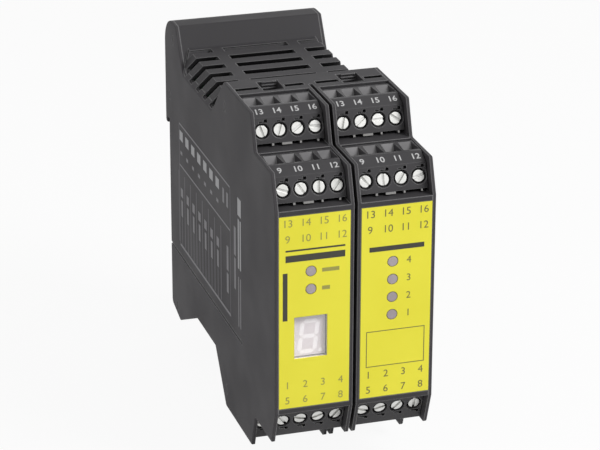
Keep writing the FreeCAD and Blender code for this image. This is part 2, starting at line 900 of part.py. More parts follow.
def terminal_screw(index, turn):
    """Slotted clamping screw; each stands at its own angle."""
    x = pole_x(index)
    head_end = screw_sink + screw_head_height
    head = screw_bar(screw_head / 2, x, screw_sink, head_end)
    shank = screw_bar(screw_shank / 2, x, head_end, screw_length)
    depth, level = on_face(screw_up, screw_sink)
    half = screw_head / 2 + clear
    low = FreeCAD.Vector(-half, -screw_slot_depth, -screw_slot / 2)
    slot = Part.makeBox(2 * half, 2 * screw_slot_depth, screw_slot, low)
    slot.rotate(FreeCAD.Vector(0, 0, 0), FreeCAD.Vector(0, 1, 0), turn)
    slot.rotate(FreeCAD.Vector(0, 0, 0), FreeCAD.Vector(1, 0, 0), -math.degrees(lean_angle))
    slot.translate(FreeCAD.Vector(x, at_depth(depth), level))
    return head.fuse(shank).cut(slot)


def clamp_cage(index):
    """Open clamp frame round the wire, with the spring contact that takes the header's pin."""
    x = pole_x(index)
    w = cage_width / 2
    t = tube_size / 2
    p = pin_size / 2 + pin_play
    z0 = plug_foot + cage_level
    z1 = z0 + cage_height
    tube_front = cage_back - cage_wall
    frame = box(x - w, x + w, cage_front, cage_back, z0, z1)
    tube = box(x - t, x + t, tube_front, tube_back, pin_level - t, pin_level + t)
    w_in = w - cage_wall
    inside = box(x - w_in, x + w_in, cage_front + cage_wall, tube_front, z0 - clear, z1 + clear)
    socket = box(x - p, x + p, tube_front - clear, tube_back + clear, pin_level - p, pin_level + p)
    bore = screw_bar(screw_shank / 2, x, 0, screw_length + screw_end_play)
    return frame.fuse(tube).cut([inside, socket, bore])


def contact_pin(index):
    """Square pin through the back of the well into the plug."""
    x = pole_x(index)
    half = pin_size / 2
    return box(x - half, x + half, cage_back + pin_tip_play, header_back, pin_level - half, pin_level + half)


def pin_header():
    """Moulded strip behind the well that carries the four pins, soldered to the board."""
    half = header_height / 2
    end = board_side - bay_centre
    strip = box(-end, end, well_wall_back, header_back, pin_level - half, pin_level + half)
    p = pin_size / 2
    holes = []
    for index in range(poles):
        x = pole_x(index)
        holes.append(box(x - p, x + p, well_wall_back - clear, header_back, pin_level - p, pin_level + p))
    return strip.cut(holes)


# ---- rail latch ----
def rail_latch():
    """Sliding foot: a lip behind the rail's lower flange, guide ribs and a slotted tail."""
    flange = rail_depth + flange_slot
    lip_back = flange + latch_lip
    profile = prism([
        (latch_front, -seat_edge + latch_head),
        (latch_back, -seat_edge + latch_head),
        (latch_back, -seat_edge),
        (flange, -seat_edge),
        (flange, -seat_edge + lip_height),
        (lip_back, -seat_edge - rail_play),
        (lip_back, -seat_edge - latch_lip_depth),
        (latch_back, -seat_edge - latch_lip_root),
        (latch_back, -latch_tail, latch_round),
        (latch_front, -latch_tail, latch_round),
    ], -latch_half, latch_half)
    rib = latch_half + latch_rib - latch_play
    ribs = box(-rib, rib, rib_front, rib_back, -latch_tail + latch_rib_rise, -seat_edge)
    half = spring_half + pocket_play
    pocket_low = spring_seat - shelf_thick - shelf_play
    pocket_back = latch_back - pocket_floor
    pocket = box(-half, half, latch_front - clear, pocket_back, pocket_low, spring_pocket_top)
    tool_low = -latch_tail + tool_rise
    tool = box(
        -tool_width / 2, tool_width / 2, latch_front + tool_rise, latch_back + clear,
        tool_low, tool_low + tool_height,
    )
    return profile.fuse(ribs).cut([pocket, tool]).removeSplitter()


def latch_spring():
    """Wire coil between the latch's pocket and the housing's ledge."""
    radius = (spring_outer - spring_wire) / 2
    length = spring_rest - spring_wire
    pitch = length / spring_turns
    depth = latch_front + spring_half + latch_play
    helix = Part.makeHelix(pitch, length, radius)
    start = FreeCAD.Vector(radius, 0, 0)
    ring = Part.makeCircle(spring_wire / 2, start, FreeCAD.Vector(0, 2 * math.pi * radius, pitch))
    coil = Part.Wire(helix.Edges).makePipeShell([Part.Wire([ring])], True, True)
    coil.translate(FreeCAD.Vector(0, at_depth(depth), spring_seat + spring_wire / 2))
    return coil


# ---- build ----
os.makedirs("parts", exist_ok=True)

bevel = side_bevel(0)
envelope = prism(housing_outline(), -half_width, half_width).cut([bevel, left_right(bevel)])
cover = side_cover(envelope)
save(housing_body(envelope), "housing_body")
save(cover, "side_cover_right")
save(left_right(cover), "side_cover_left")

save(front_plate(-1, 2, True), "front_plate_left")
save(front_plate(1, 4, False), "front_plate_right")
save(status_lights(-1, 2), "status_lights_left")
save(status_lights(1, 4), "status_lights_right")
save(behind_window(plate_play, plate_play, front_plate_thick), "display_window")
save(behind_window(display_play, front_plate_thick + plate_play, front_board_depth), "digit_display")
save(front_board(), "front_board_right")
save(left_right(front_board()), "front_board_left")

save(main_board(), "main_board_right")
save(left_right(main_board()), "main_board_left")
save(board_link(), "board_link")
for column in range(2):
    for row in range(2):
        save(output_relay(column, row), "output_relay_" + str(2 * column + row + 1))
save(power_converter(), "power_converter")
for index in range(2):
    save(capacitor(index), "capacitor_" + str(index + 1))
    save(controller_chip(index), "controller_chip_" + str(index + 1))

upper_plug = plug_body(plug_face_height, plug_strip_run)
lower_plug = plug_body(lower_face_height, lower_strip_run)
cages = Part.makeCompound([clamp_cage(index) for index in range(poles)])
header = pin_header()
pins = {"left": [], "right": []}
for place_number, place in enumerate(row_places()):
    turns = [(37 * index + 53 * place_number + 20) % 180 for index in range(poles)]
    screws = Part.makeCompound([terminal_screw(index, turns[index]) for index in range(poles)])
    plug = lower_plug if place[4] else upper_plug
    save(placed(plug, place), "terminal_plug_" + place[0])
    save(placed(screws, place), "terminal_screws_" + place[0])
    save(placed(cages, place), "clamp_cages_" + place[0])
    save(placed(header, place), "pin_header_" + place[0])
    side = place[0].split("_")[0]
    pins[side] += [placed(contact_pin(index), place) for index in range(poles)]
for side in pins:
    save(Part.makeCompound(pins[side]), "contact_pins_" + side)

save(rail_latch(), "rail_latch")
save(latch_spring(), "latch_spring")
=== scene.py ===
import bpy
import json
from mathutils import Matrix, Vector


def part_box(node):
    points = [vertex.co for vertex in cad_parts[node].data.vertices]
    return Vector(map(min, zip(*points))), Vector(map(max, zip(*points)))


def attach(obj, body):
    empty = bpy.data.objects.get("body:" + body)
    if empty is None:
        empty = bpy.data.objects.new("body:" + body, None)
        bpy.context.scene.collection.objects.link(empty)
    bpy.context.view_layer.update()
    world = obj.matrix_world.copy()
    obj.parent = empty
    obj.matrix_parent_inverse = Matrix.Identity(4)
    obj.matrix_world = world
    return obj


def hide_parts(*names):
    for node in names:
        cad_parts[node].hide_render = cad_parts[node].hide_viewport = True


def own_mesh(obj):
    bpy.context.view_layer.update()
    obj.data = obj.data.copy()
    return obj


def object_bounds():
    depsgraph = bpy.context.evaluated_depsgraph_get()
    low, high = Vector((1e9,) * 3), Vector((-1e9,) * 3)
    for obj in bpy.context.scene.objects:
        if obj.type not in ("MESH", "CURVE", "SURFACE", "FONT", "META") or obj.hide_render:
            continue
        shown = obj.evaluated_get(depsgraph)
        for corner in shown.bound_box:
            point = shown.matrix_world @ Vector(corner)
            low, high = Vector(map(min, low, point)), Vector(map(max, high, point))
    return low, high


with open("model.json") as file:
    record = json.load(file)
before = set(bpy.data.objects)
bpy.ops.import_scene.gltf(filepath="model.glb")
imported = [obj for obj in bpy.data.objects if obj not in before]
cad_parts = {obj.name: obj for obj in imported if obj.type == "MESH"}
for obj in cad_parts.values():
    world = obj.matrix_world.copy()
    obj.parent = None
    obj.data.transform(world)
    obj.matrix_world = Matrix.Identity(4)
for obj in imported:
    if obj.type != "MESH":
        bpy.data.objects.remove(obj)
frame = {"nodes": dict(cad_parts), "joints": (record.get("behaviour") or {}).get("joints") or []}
cad_low, cad_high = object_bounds()
cad_nodes = frame["nodes"]

import json
import math

import bmesh
import bpy
from mathutils import Matrix, Vector

# ---- The room ----
# The relay stands free of a pale floor, because a rail holds it and its latch reaches below
# the housing. One soft lamp is above the front on the right, a weak one fills from the left.

scene = bpy.context.scene
scene.view_settings.view_transform = "Standard"


def new_material(name):
    """A material with its tree, and its Principled shader."""
    material = bpy.data.materials.new(name)
    material.use_nodes = True
    tree = material.node_tree
    return material, tree, tree.nodes["Principled BSDF"]


def add_to_scene(data, name):
    """A new object with its place left in its mesh."""
    piece = bpy.data.objects.new(name, data)
    scene.collection.objects.link(piece)
    return piece


def maths(tree, operation, *values):
    """Result of a maths node; a value is a number or a socket."""
    node = tree.nodes.new("ShaderNodeMath")
    node.operation = operation
    for value, socket in zip(values, node.inputs):
        if isinstance(value, float):
            socket.default_value = value
        else:
            tree.links.new(value, socket)
    return node.outputs[0]


def seen_plainly(tree):
    """Mask of the rays that come from the camera, off gloss or through glass."""
    rays = tree.nodes.new("ShaderNodeLightPath").outputs
    mirrored = maths(tree, "MAXIMUM", rays["Is Camera Ray"], rays["Is Glossy Ray"])
    return maths(tree, "MAXIMUM", mirrored, rays["Is Transmission Ray"])


def mix_shaders(tree, factor, first, second):
    """Shader between two, by a mask."""
    mix = tree.nodes.new("ShaderNodeMixShader")
    for value, socket in zip((factor, first, second), mix.inputs):
        tree.links.new(value, socket)
    return mix.outputs[0]


def stage_material(name, colour, glow):
    """Diffuse surface that the camera, gloss and glass see almost evenly bright."""
    material, tree, diffuse = new_material(name)
    diffuse.inputs["Base Color"].default_value = (*colour, 1)
    diffuse.inputs["Roughness"].default_value = 0.9
    diffuse.inputs["Specular IOR Level"].default_value = 0.0
    emission = tree.nodes.new("ShaderNodeEmission")
    emission.inputs["Color"].default_value = (1, 1, 1, 1)
    share = maths(tree, "MULTIPLY", seen_plainly(tree), glow)
    mixed = mix_shaders(tree, share, diffuse.outputs[0], emission.outputs[0])
    tree.links.new(mixed, tree.nodes["Material Output"].inputs["Surface"])
    return material


latch_reach = max(joint["range_m"][1] for joint in frame["joints"] if joint["child"] == "latch")
floor_gap = 0.001           # air left under the latch when it is pulled right down
floor_level = cad_low.z - latch_reach - floor_gap
floor_half = 3.0
floor_mesh = bpy.data.meshes.new("floor")
floor_corners = [(-1, -1), (1, -1), (1, 1), (-1, 1)]
floor_mesh.from_pydata(
    [(x * floor_half, y * floor_half, floor_level) for x, y in floor_corners], [], [(0, 1, 2, 3)]
)
floor = add_to_scene(floor_mesh, "floor")
floor_mesh.materials.append(stage_material("pale_floor", (0.86, 0.86, 0.86), glow=0.93))

world = bpy.data.worlds.new("studio")
world.use_nodes = True
scene.world = world
world_tree = world.node_tree
soft_sky = world_tree.nodes["Background"]
backdrop = world_tree.nodes.new("ShaderNodeBackground")
for light, strength in ((soft_sky, 0.36), (backdrop, 1.0)):
    light.inputs["Color"].default_value = (1, 1, 1, 1)
    light.inputs["Strength"].default_value = strength
sky = mix_shaders(
    world_tree, seen_plainly(world_tree), soft_sky.outputs[0], backdrop.outputs[0]
)
world_tree.links.new(sky, world_tree.nodes["World Output"].inputs["Surface"])


def soft_lamp(name, place, aim, size, power):
    """Square area lamp at a place, turned to a point."""
    data = bpy.data.lights.new(name, "AREA")
    data.shape = "SQUARE"
    data.size = size
    data.energy = power
    lamp = add_to_scene(data, name)
    lamp.location = place
    lamp.rotation_euler = (aim - Vector(place)).to_track_quat("-Z", "Y").to_euler()


middle = (cad_low + cad_high) / 2
soft_lamp("front_lamp", (0.45, -0.50, 0.55), middle, size=0.35, power=4.5)
soft_lamp("left_lamp", (-0.8, -0.35, 0.3), middle, size=0.5, power=0.9)

# The camera stands to the left of the front and above it, with a long lens, and looks at a
# point inside the upper half of the left bay.
camera_data = bpy.data.cameras.new("camera")
camera_data.lens = 157.2
camera_data.clip_start = 0.05
camera = add_to_scene(camera_data, "camera")
azimuth = math.radians(-17.28)
elevation = math.radians(22.02)
roll = math.radians(0.17)
distance = 0.7034
aim = Vector((cad_low.x + 0.0107, cad_low.y + 0.0122, middle.z + 0.0201))
back = Vector((
    math.sin(azimuth) * math.cos(elevation),
    -math.cos(azimuth) * math.cos(elevation),
    math.sin(elevation),
))
level_right = Vector((0, 0, 1)).cross(back).normalized()
level_up = back.cross(level_right)
right = level_right * math.cos(roll) + level_up * math.sin(roll)
up = level_up * math.cos(roll) - level_right * math.sin(roll)
turn = Matrix((right, up, back)).transposed()
camera.matrix_world = Matrix.Translation(aim + back * distance) @ turn.to_4x4()
scene.camera = camera


# ---- Housing and side covers ----
# Moulded in charcoal polyamide: one deep body and two flat covers snapped on its sides.
# The tool is spark-eroded, so the skin has a fine matt grain, and its rims are a little round.

def new_group(name, inputs, outputs):
    """Shader node group with named sockets; inputs are (name, default)."""
    group = bpy.data.node_groups.new(name, "ShaderNodeTree")
    for label, value in inputs:
        socket = group.interface.new_socket(label, in_out="INPUT", socket_type="NodeSocketFloat")
        socket.default_value = value
    for label, kind in outputs:
        group.interface.new_socket(label, in_out="OUTPUT", socket_type=kind)
    entry = group.nodes.new("NodeGroupInput")
    leave = group.nodes.new("NodeGroupOutput")
    return group, entry, leave


def noise(tree, vector, scale, detail, rough):
    """Noise on object coordinates; scale in waves a metre, or a socket."""
    node = tree.nodes.new("ShaderNodeTexNoise")
    node.inputs["Detail"].default_value = detail
    node.inputs["Roughness"].default_value = rough
    if isinstance(scale, (int, float)):
        node.inputs["Scale"].default_value = scale
    else:
        tree.links.new(scale, node.inputs["Scale"])
    tree.links.new(vector, node.inputs["Vector"])
    return node


def moulded_skin_group():
    """Height of the grain and slow change of tone of a moulded skin."""
    group, entry, leave = new_group(
        "moulded_skin",
        [("Grain Scale", 5200.0), ("Tone Scale", 60.0)],
        [("Grain", "NodeSocketFloat"), ("Tone", "NodeSocketFloat")],
    )
    place = group.nodes.new("ShaderNodeTexCoord").outputs["Object"]
    grain = noise(group, place, entry.outputs["Grain Scale"], detail=3.0, rough=0.6)
    tone = noise(group, place, entry.outputs["Tone Scale"], detail=2.0, rough=0.5)
    stretch = group.nodes.new("ShaderNodeMapRange")
    stretch.inputs["From Min"].default_value = 0.35
    stretch.inputs["From Max"].default_value = 0.65
    group.links.new(tone.outputs["Fac"], stretch.inputs["Value"])
    group.links.new(grain.outputs["Fac"], leave.inputs["Grain"])
    group.links.new(stretch.outputs["Result"], leave.inputs["Tone"])
    return group


def rounded_rim_group():
    """Normal that rounds sharp rims, and a mask of where they are."""
    group, entry, leave = new_group(
        "rounded_rim",
        [("Radius", 0.0003)],
        [("Normal", "NodeSocketVector"), ("Rim", "NodeSocketFloat")],
    )
    bevel = group.nodes.new("ShaderNodeBevel")
    bevel.samples = 6
    group.links.new(entry.outputs["Radius"], bevel.inputs["Radius"])
    surface = group.nodes.new("ShaderNodeNewGeometry")
    agree = group.nodes.new("ShaderNodeVectorMath")
    agree.operation = "DOT_PRODUCT"
    group.links.new(bevel.outputs["Normal"], agree.inputs[0])
    group.links.new(surface.outputs["Normal"], agree.inputs[1])
    mask = group.nodes.new("ShaderNodeMapRange")
    mask.inputs["From Min"].default_value = 0.99    # the two normals agree: a flat face
    mask.inputs["From Max"].default_value = 0.86    # they part: a rim
    group.links.new(agree.outputs["Value"], mask.inputs["Value"])
    group.links.new(bevel.outputs["Normal"], leave.inputs["Normal"])
    group.links.new(mask.outputs["Result"], leave.inputs["Rim"])
    return group


moulded_skin = moulded_skin_group()
rounded_rim = rounded_rim_group()


def place_group(tree, group, **values):
    """Group node with its inputs set; an underscore stands for a space."""
    node = tree.nodes.new("ShaderNodeGroup")
    node.node_tree = group
    for label, value in values.items():
        node.inputs[label.replace("_", " ")].default_value = value
    return node


def mix_colour(tree, factor, first, second):
    """Colour between two, by a mask; a colour may be a socket."""
    node = tree.nodes.new("ShaderNodeMix")
    node.data_type = "RGBA"
    tree.links.new(factor, node.inputs["Factor"])
    for value, label in ((first, "A"), (second, "B")):
        socket = next(s for s in node.inputs if s.name == label and s.type == "RGBA")
        if isinstance(value, tuple):
            socket.default_value = (*value, 1)
        else:
            tree.links.new(value, socket)
    return next(s for s in node.outputs if s.type == "RGBA")


def spread(tree, value, low, high):
    """A 0 to 1 value taken to a range."""
    node = tree.nodes.new("ShaderNodeMapRange")
    node.inputs["To Min"].default_value = low
    node.inputs["To Max"].default_value = high
    tree.links.new(value, node.inputs["Value"])
    return node.outputs["Result"]


def plastic(
    name, dark, light, painted_rim_tone, roughness,
    gloss=0.5, grain_scale=5200.0, grain_depth=0.00002, radius=0.0003,
):
    """Moulded plastic between two close tones and a fine grain; its rims get their own colour, a
    painted highlight where paler and painted shade where darker.
    """
    material, tree, shader = new_material(name)
    shader.inputs["Specular IOR Level"].default_value = gloss
    skin = place_group(tree, moulded_skin, Grain_Scale=grain_scale)
    edge = place_group(tree, rounded_rim, Radius=radius)
    toned = mix_colour(tree, skin.outputs["Tone"], dark, light)
    # Rims get their own colour here: a painted highlight where it is paler than the body, painted
    # shade where it is darker.
    colour = mix_colour(tree, edge.outputs["Rim"], toned, painted_rim_tone)
    tree.links.new(colour, shader.inputs["Base Color"])
    rough = spread(tree, skin.outputs["Tone"], roughness - 0.05, roughness + 0.05)
    tree.links.new(rough, shader.inputs["Roughness"])
    bump = tree.nodes.new("ShaderNodeBump")
    bump.inputs["Distance"].default_value = grain_depth
    bump.inputs["Strength"].default_value = 0.5
    tree.links.new(skin.outputs["Grain"], bump.inputs["Height"])
    tree.links.new(edge.outputs["Normal"], bump.inputs["Normal"])
    tree.links.new(bump.outputs["Normal"], shader.inputs["Normal"])
    return material


def dress(material, *names):
    """Gives CAD nodes a finish."""
    for name in names:
        mesh = cad_nodes[name].data
        mesh.materials.clear()
        mesh.materials.append(material)


def like(start):
    """The CAD nodes whose names start so, in order."""
    return sorted(name for name in cad_nodes if name.startswith(start))


charcoal_plastic = plastic(
    "charcoal_plastic", (0.050, 0.048, 0.051), (0.056, 0.054, 0.057), (0.26, 0.257, 0.262), 0.55,
    gloss=0.12, radius=0.00045,
)
cover_plastic = plastic(
    "cover_plastic", (0.060, 0.057, 0.061), (0.066, 0.063, 0.067), (0.30, 0.297, 0.302), 0.58,
    gloss=0.1, radius=0.00045,
)
dress(charcoal_plastic, "housing_body")
dress(cover_plastic, "side_cover_left", "side_cover_right")


# ---- Front plates ----
# Two plates moulded in yellow plastic and snapped between the walls of the bays. Terminal
# numbers are screen-printed on them, in olive on the left plate and in grey on the right one,
# a line for each row of plugs. Plain bars stand in place of words.

yellow_plate = plastic(
    "yellow_plate", (0.86, 0.79, 0.035), (0.89, 0.82, 0.045), (0.93, 0.87, 0.10), 0.42,
    grain_scale=3000.0, grain_depth=0.00001, radius=0.0002,
)
dress(yellow_plate, "front_plate_left", "front_plate_right")

print_lift = 0.00003        # ink above the surface it is printed on


def flat_text(words, height, weight):
    """Mesh of a line of figures, centred on the origin in the plane z = 0."""
    curve = bpy.data.curves.new("figures", "FONT")
    curve.body = words
    curve.align_x = "CENTER"
    curve.align_y = "CENTER"
    curve.size = height / 0.7
    curve.offset = weight
    curve.resolution_u = 4
    holder = bpy.data.objects.new("figures", curve)
    scene.collection.objects.link(holder)
    bpy.context.view_layer.update()
    mesh = bpy.data.meshes.new_from_object(holder)
    bpy.data.objects.remove(holder)
    bpy.data.curves.remove(curve)
    return mesh


def rectangle(work, place, across, upward, width, height):
    """Filled bar in a bmesh, centred on a point between two directions."""
    corners = []
    for x, y in ((-0.5, -0.5), (0.5, -0.5), (0.5, 0.5), (-0.5, 0.5)):
        corners.append(work.verts.new(place + across * (x * width) + upward * (y * height)))
    work.faces.new(corners)


def outline(work, place, across, upward, width, height, line):
    """Thin printed frame of four bars."""
    for end in (-0.5, 0.5):
        rectangle(work, place + upward * (end * (height - line)), across, upward, width, line)
        rectangle(
            work, place + across * (end * (width - line)), across, upward, line, height - 2 * line
        )


def put_text(work, words, height, place, across, upward, weight=0.0):
    """Adds a line of figures to a bmesh at a point, along two directions."""
    mesh = flat_text(words, height, weight)
    normal = across.cross(upward)
    turn = Matrix((across, upward, normal)).transposed().to_4x4()
    mesh.transform(Matrix.Translation(place) @ turn)
    work.from_mesh(mesh)
    bpy.data.meshes.remove(mesh)


def ink_material(name, colour, roughness=0.55):
    """Screen-printed ink, a little uneven where it lies thin."""
    material, tree, shader = new_material(name)
    place = tree.nodes.new("ShaderNodeTexCoord").outputs["Object"]
    cover = noise(tree, place, 4000.0, detail=2.0, rough=0.6)
    thin = tuple(min(1.0, part * 1.35 + 0.01) for part in colour)
    shade = mix_colour(tree, cover.outputs["Fac"], colour, thin)
    tree.links.new(shade, shader.inputs["Base Color"])
    shader.inputs["Roughness"].default_value = roughness
    return material


def finish_piece(work, name, material, body):
    """Turns a bmesh into a piece that rides on a body."""
    bmesh.ops.triangulate(work, faces=work.faces)
    mesh = bpy.data.meshes.new(name)
    work.to_mesh(mesh)
    work.free()
    mesh.materials.append(material)
    piece = add_to_scene(mesh, name)
    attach(piece, body)


grey_ink = ink_material("grey_ink", (0.14, 0.13, 0.04))
olive_ink = ink_material("olive_ink", (0.30, 0.28, 0.06))
black_ink = ink_material("black_ink", (0.03, 0.028, 0.02))
right_way = Vector((1, 0, 0))
up_way = Vector((0, 0, 1))
poles = 4
figure_pitch = 0.00501
figure_height = 0.0021
figure_rows = ((13, 0.0258), (9, 0.0213), (1, -0.0212), (5, -0.0257))   # first number, level


def pole_place(pole, pitch):
    """How far right of the middle a pole is."""
    return (pole - (poles - 1) / 2) * pitch


def plate_print(side):
    """Terminal numbers of one plate, and where its middle and its printed face are."""
    low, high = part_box("front_plate_" + side)
    centre = (low.x + high.x) / 2
    face = low.y - print_lift
    work = bmesh.new()
    for first, level in figure_rows:
        for pole in range(poles):
            place = Vector((centre + pole_place(pole, figure_pitch), face, level))
            put_text(work, str(first + pole), figure_height, place, right_way, up_way)
    return work, centre, face


def plate_bar(work, x, face, level, width, height):
    """Bar printed on a plate."""
    rectangle(work, Vector((x, face, level)), right_way, up_way, width, height)


left_print, left_centre, left_face = plate_print("left")
right_print, right_centre, right_face = plate_print("right")
light_count = 4
light_pitch = 0.00517
light_top = 0.0117
light_figure_in = 0.0036    # the lights' numbers, right of the middle
light_figure_height = 0.0020
for number in range(light_count):
    level = light_top - number * light_pitch
    place = Vector((right_centre + light_figure_in, right_face, level))
    words = str(light_count - number)
    put_text(right_print, words, light_figure_height, place, right_way, up_way)
note_centre = Vector((right_centre + 0.0001, right_face, -0.0135))
note_width = 0.0167
note_height = 0.0106
note_line = 0.00022
outline(right_print, note_centre, right_way, up_way, note_width, note_height, note_line)
finish_piece(left_print, "front_numbers_left", olive_ink, "housing")
finish_piece(right_print, "front_numbers_right", grey_ink, "housing")

bars = bmesh.new()
for x, level, width, height in (        # x is counted from the plate's middle
    (0.0002, 0.0158, 0.0166, 0.0019),
    (0.0002, 0.0181, 0.0166, 0.0005),
    (-0.0082, 0.0049, 0.0013, 0.0138),
):
    plate_bar(bars, left_centre + x, left_face, level, width, height)
finish_piece(bars, "front_bars_left", black_ink, "housing")
labels = bmesh.new()
label_start = 0.0021        # the lights' labels, right of the middle
label_height = 0.0011
for level, width in ((light_top, 0.0048), (light_top - light_pitch, 0.0022)):
    x = left_centre + label_start + width / 2
    plate_bar(labels, x, left_face, level, width, label_height)
finish_piece(labels, "light_labels_left", olive_ink, "housing")
bars = bmesh.new()
plate_bar(bars, right_centre + 0.0001, right_face, 0.0157, width=0.0155, height=0.0014)
finish_piece(bars, "front_bar_right", black_ink, "housing")


# ---- Lights and display ----
# Light guides moulded in milky plastic come through round holes in the plates. A moulded pane,
# a little milky, fills the window of the left plate. Behind it stands a one-digit display in a
# light grey case, with white slanting segments.

milky_guide = plastic(
    "milky_guide", (0.37, 0.32, 0.34), (0.44, 0.39, 0.41), (0.30, 0.26, 0.27), 0.25,
    grain_scale=1500.0, grain_depth=0.000005, radius=0.0003,
)
guide_shader = milky_guide.node_tree.nodes["Principled BSDF"]
guide_shader.inputs["Subsurface Weight"].default_value = 0.15
guide_shader.inputs["Subsurface Scale"].default_value = 0.001
dress(milky_guide, *like("status_lights"))

display_face = plastic(
    "display_face", (0.66, 0.62, 0.645), (0.70, 0.66, 0.685), (0.76, 0.73, 0.75), 0.45,
    grain_scale=3500.0, grain_depth=0.000006, radius=0.0002,
)
dress(display_face, "digit_display")


def milky_pane_material():
    """Moulded pane, a little milky, that lets light through to what it covers."""
    material, tree, shader = new_material("milky_pane")
    shader.inputs["Base Color"].default_value = (0.92, 0.90, 0.91, 1)
    shader.inputs["Transmission Weight"].default_value = 0.86
    shader.inputs["IOR"].default_value = 1.49
    place = tree.nodes.new("ShaderNodeTexCoord").outputs["Object"]
    haze = noise(tree, place, 900.0, detail=2.0, rough=0.5)
    tree.links.new(spread(tree, haze.outputs["Fac"], 0.02, 0.08), shader.inputs["Roughness"])
    shadow = tree.nodes.new("ShaderNodeLightPath").outputs["Is Shadow Ray"]
    passing = tree.nodes.new("ShaderNodeBsdfTransparent")
    mixed = mix_shaders(tree, shadow, shader.outputs[0], passing.outputs[0])
    tree.links.new(mixed, tree.nodes["Material Output"].inputs["Surface"])
    return material


dress(milky_pane_material(), "display_window")

display_low, display_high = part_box("digit_display")
digit_height = 0.0100
digit_width = 0.0055
segment_width = 0.0012
segment_gap = 0.00012
digit_slant = 0.118
point_radius = 0.0006
point_out = 0.0012
digit_centre = Vector((
    (display_low.x + display_high.x) / 2 - 0.0003,
    display_low.y - print_lift,
    (display_low.z + display_high.z) / 2 - 0.0002,
))


def segment(work, start, end):
    """Bar with pointed ends between two points of the leaning digit."""
    corners = []
    along = (Vector(end) - Vector(start)).normalized()
    side = Vector((-along.y, along.x)) * (segment_width / 2)
    inset = along * (segment_width / 2)
    first = Vector(start) + along * segment_gap
    last = Vector(end) - along * segment_gap
    for point in (
        first, first + inset - side, last - inset - side,
        last, last - inset + side, first + inset + side,
    ):
        leaning = Vector((point.x + digit_slant * point.y, 0, point.y))
        corners.append(work.verts.new(digit_centre + leaning))
    work.faces.new(corners)


digit = bmesh.new()
half_wide = (digit_width - segment_width) / 2
half_tall = (digit_height - segment_width) / 2
for level in (-half_tall, 0, half_tall):
    segment(digit, (-half_wide, level), (half_wide, level))
for end in (-half_wide, half_wide):
    segment(digit, (end, -half_tall), (end, 0))
    segment(digit, (end, 0), (end, half_tall))
point_centre = digit_centre + Vector((half_wide + point_out, 0, -half_tall))
bmesh.ops.create_circle(
    digit, cap_ends=True, segments=20, radius=point_radius,
    matrix=Matrix.Translation(point_centre) @ Matrix.Rotation(math.radians(90), 4, "X"),
)
segment_white = ink_material("segment_white", (0.86, 0.85, 0.87), 0.4)
finish_piece(digit, "display_segments", segment_white, "housing")


# ---- Terminals ----
# Pull-off plugs in a dark glass-filled polyamide, with bright zinc screws that carry the marks
# of a screwdriver. White figures number the poles on the strips that slope back above the
# screws. Pale bars in the open ledge under them are a painted highlight of posts catching the
# light, and the funnels' rear walls are painted paler as painted light.

terminal_plastic = plastic(
    "terminal_plastic", (0.045, 0.043, 0.046), (0.053, 0.051, 0.054), (0.28, 0.278, 0.282), 0.4,
    gloss=0.25, grain_scale=6500.0, grain_depth=0.000015, radius=0.0002,
)


lit_wall_middle = 0.0105       # middle of the depth painted paler, behind a plug's front
lit_wall_half = 0.0036         # how far the painted light reaches to either side of it


def paint_lit_funnel_walls(material, lit_wall_colour):
    """Painted light: paler colour in uneven patches on the forward-facing rear walls of the
    funnels, in both rows.
    """
    tree = material.node_tree
    shader = tree.nodes["Principled BSDF"]
    plain = shader.inputs["Base Color"].links[0].from_socket
    place = tree.nodes.new("ShaderNodeTexCoord").outputs["Object"]
    part = tree.nodes.new("ShaderNodeSeparateXYZ")
    tree.links.new(place, part.inputs[0])
    rows = []
    for row in ("front", "rear"):
        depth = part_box("terminal_plug_left_top_" + row)[0].y + lit_wall_middle
        rows.append(maths(tree, "COMPARE", part.outputs["Y"], depth, lit_wall_half))
    facing = tree.nodes.new("ShaderNodeSeparateXYZ")
    surface = tree.nodes.new("ShaderNodeNewGeometry")
    tree.links.new(surface.outputs["True Normal"], facing.inputs[0])
    forwards = maths(tree, "LESS_THAN", facing.outputs["Y"], -0.5)
    walls = maths(tree, "MULTIPLY", maths(tree, "MAXIMUM", *rows), forwards)
    light_clouds = noise(tree, place, 130.0, detail=2.0, rough=0.5)
    patches = spread(tree, light_clouds.outputs["Fac"], 0.1, 1.3)
    painted_light_mask = maths(tree, "MULTIPLY", walls, patches)
    # painted light: the forward-facing funnel walls take a paler colour, standing in for the
    # front lamp's light
    tree.links.new(mix_colour(tree, painted_light_mask, plain, lit_wall_colour), shader.inputs["Base Color"])


# The funnels' rear walls are painted paler as painted light from the front lamp.
paint_lit_funnel_walls(terminal_plastic, (0.25, 0.245, 0.25))
dress(terminal_plastic, *like("terminal_plug"))


def worn_metal_group():
    """Tarnish clouds and fine scratches of plated metal."""
    group, entry, leave = new_group(
        "worn_metal",
        [("Cloud Scale", 900.0), ("Scratch Scale", 3000.0)],
        [("Tarnish", "NodeSocketFloat"), ("Scratches", "NodeSocketFloat")],
    )
    place = group.nodes.new("ShaderNodeTexCoord").outputs["Object"]
    clouds = noise(group, place, entry.outputs["Cloud Scale"], detail=3.0, rough=0.6)
    stretch = group.nodes.new("ShaderNodeMapping")
    stretch.inputs["Rotation"].default_value = (0.5, 0.3, 0.7)
    stretch.inputs["Scale"].default_value = (1.0, 0.08, 1.0)
    group.links.new(place, stretch.inputs["Vector"])
    drawn_out = stretch.outputs["Vector"]
    lines = noise(group, drawn_out, entry.outputs["Scratch Scale"], detail=2.0, rough=0.7)
    group.links.new(clouds.outputs["Fac"], leave.inputs["Tarnish"])
    group.links.new(lines.outputs["Fac"], leave.inputs["Scratches"])
    return group


worn_metal = worn_metal_group()


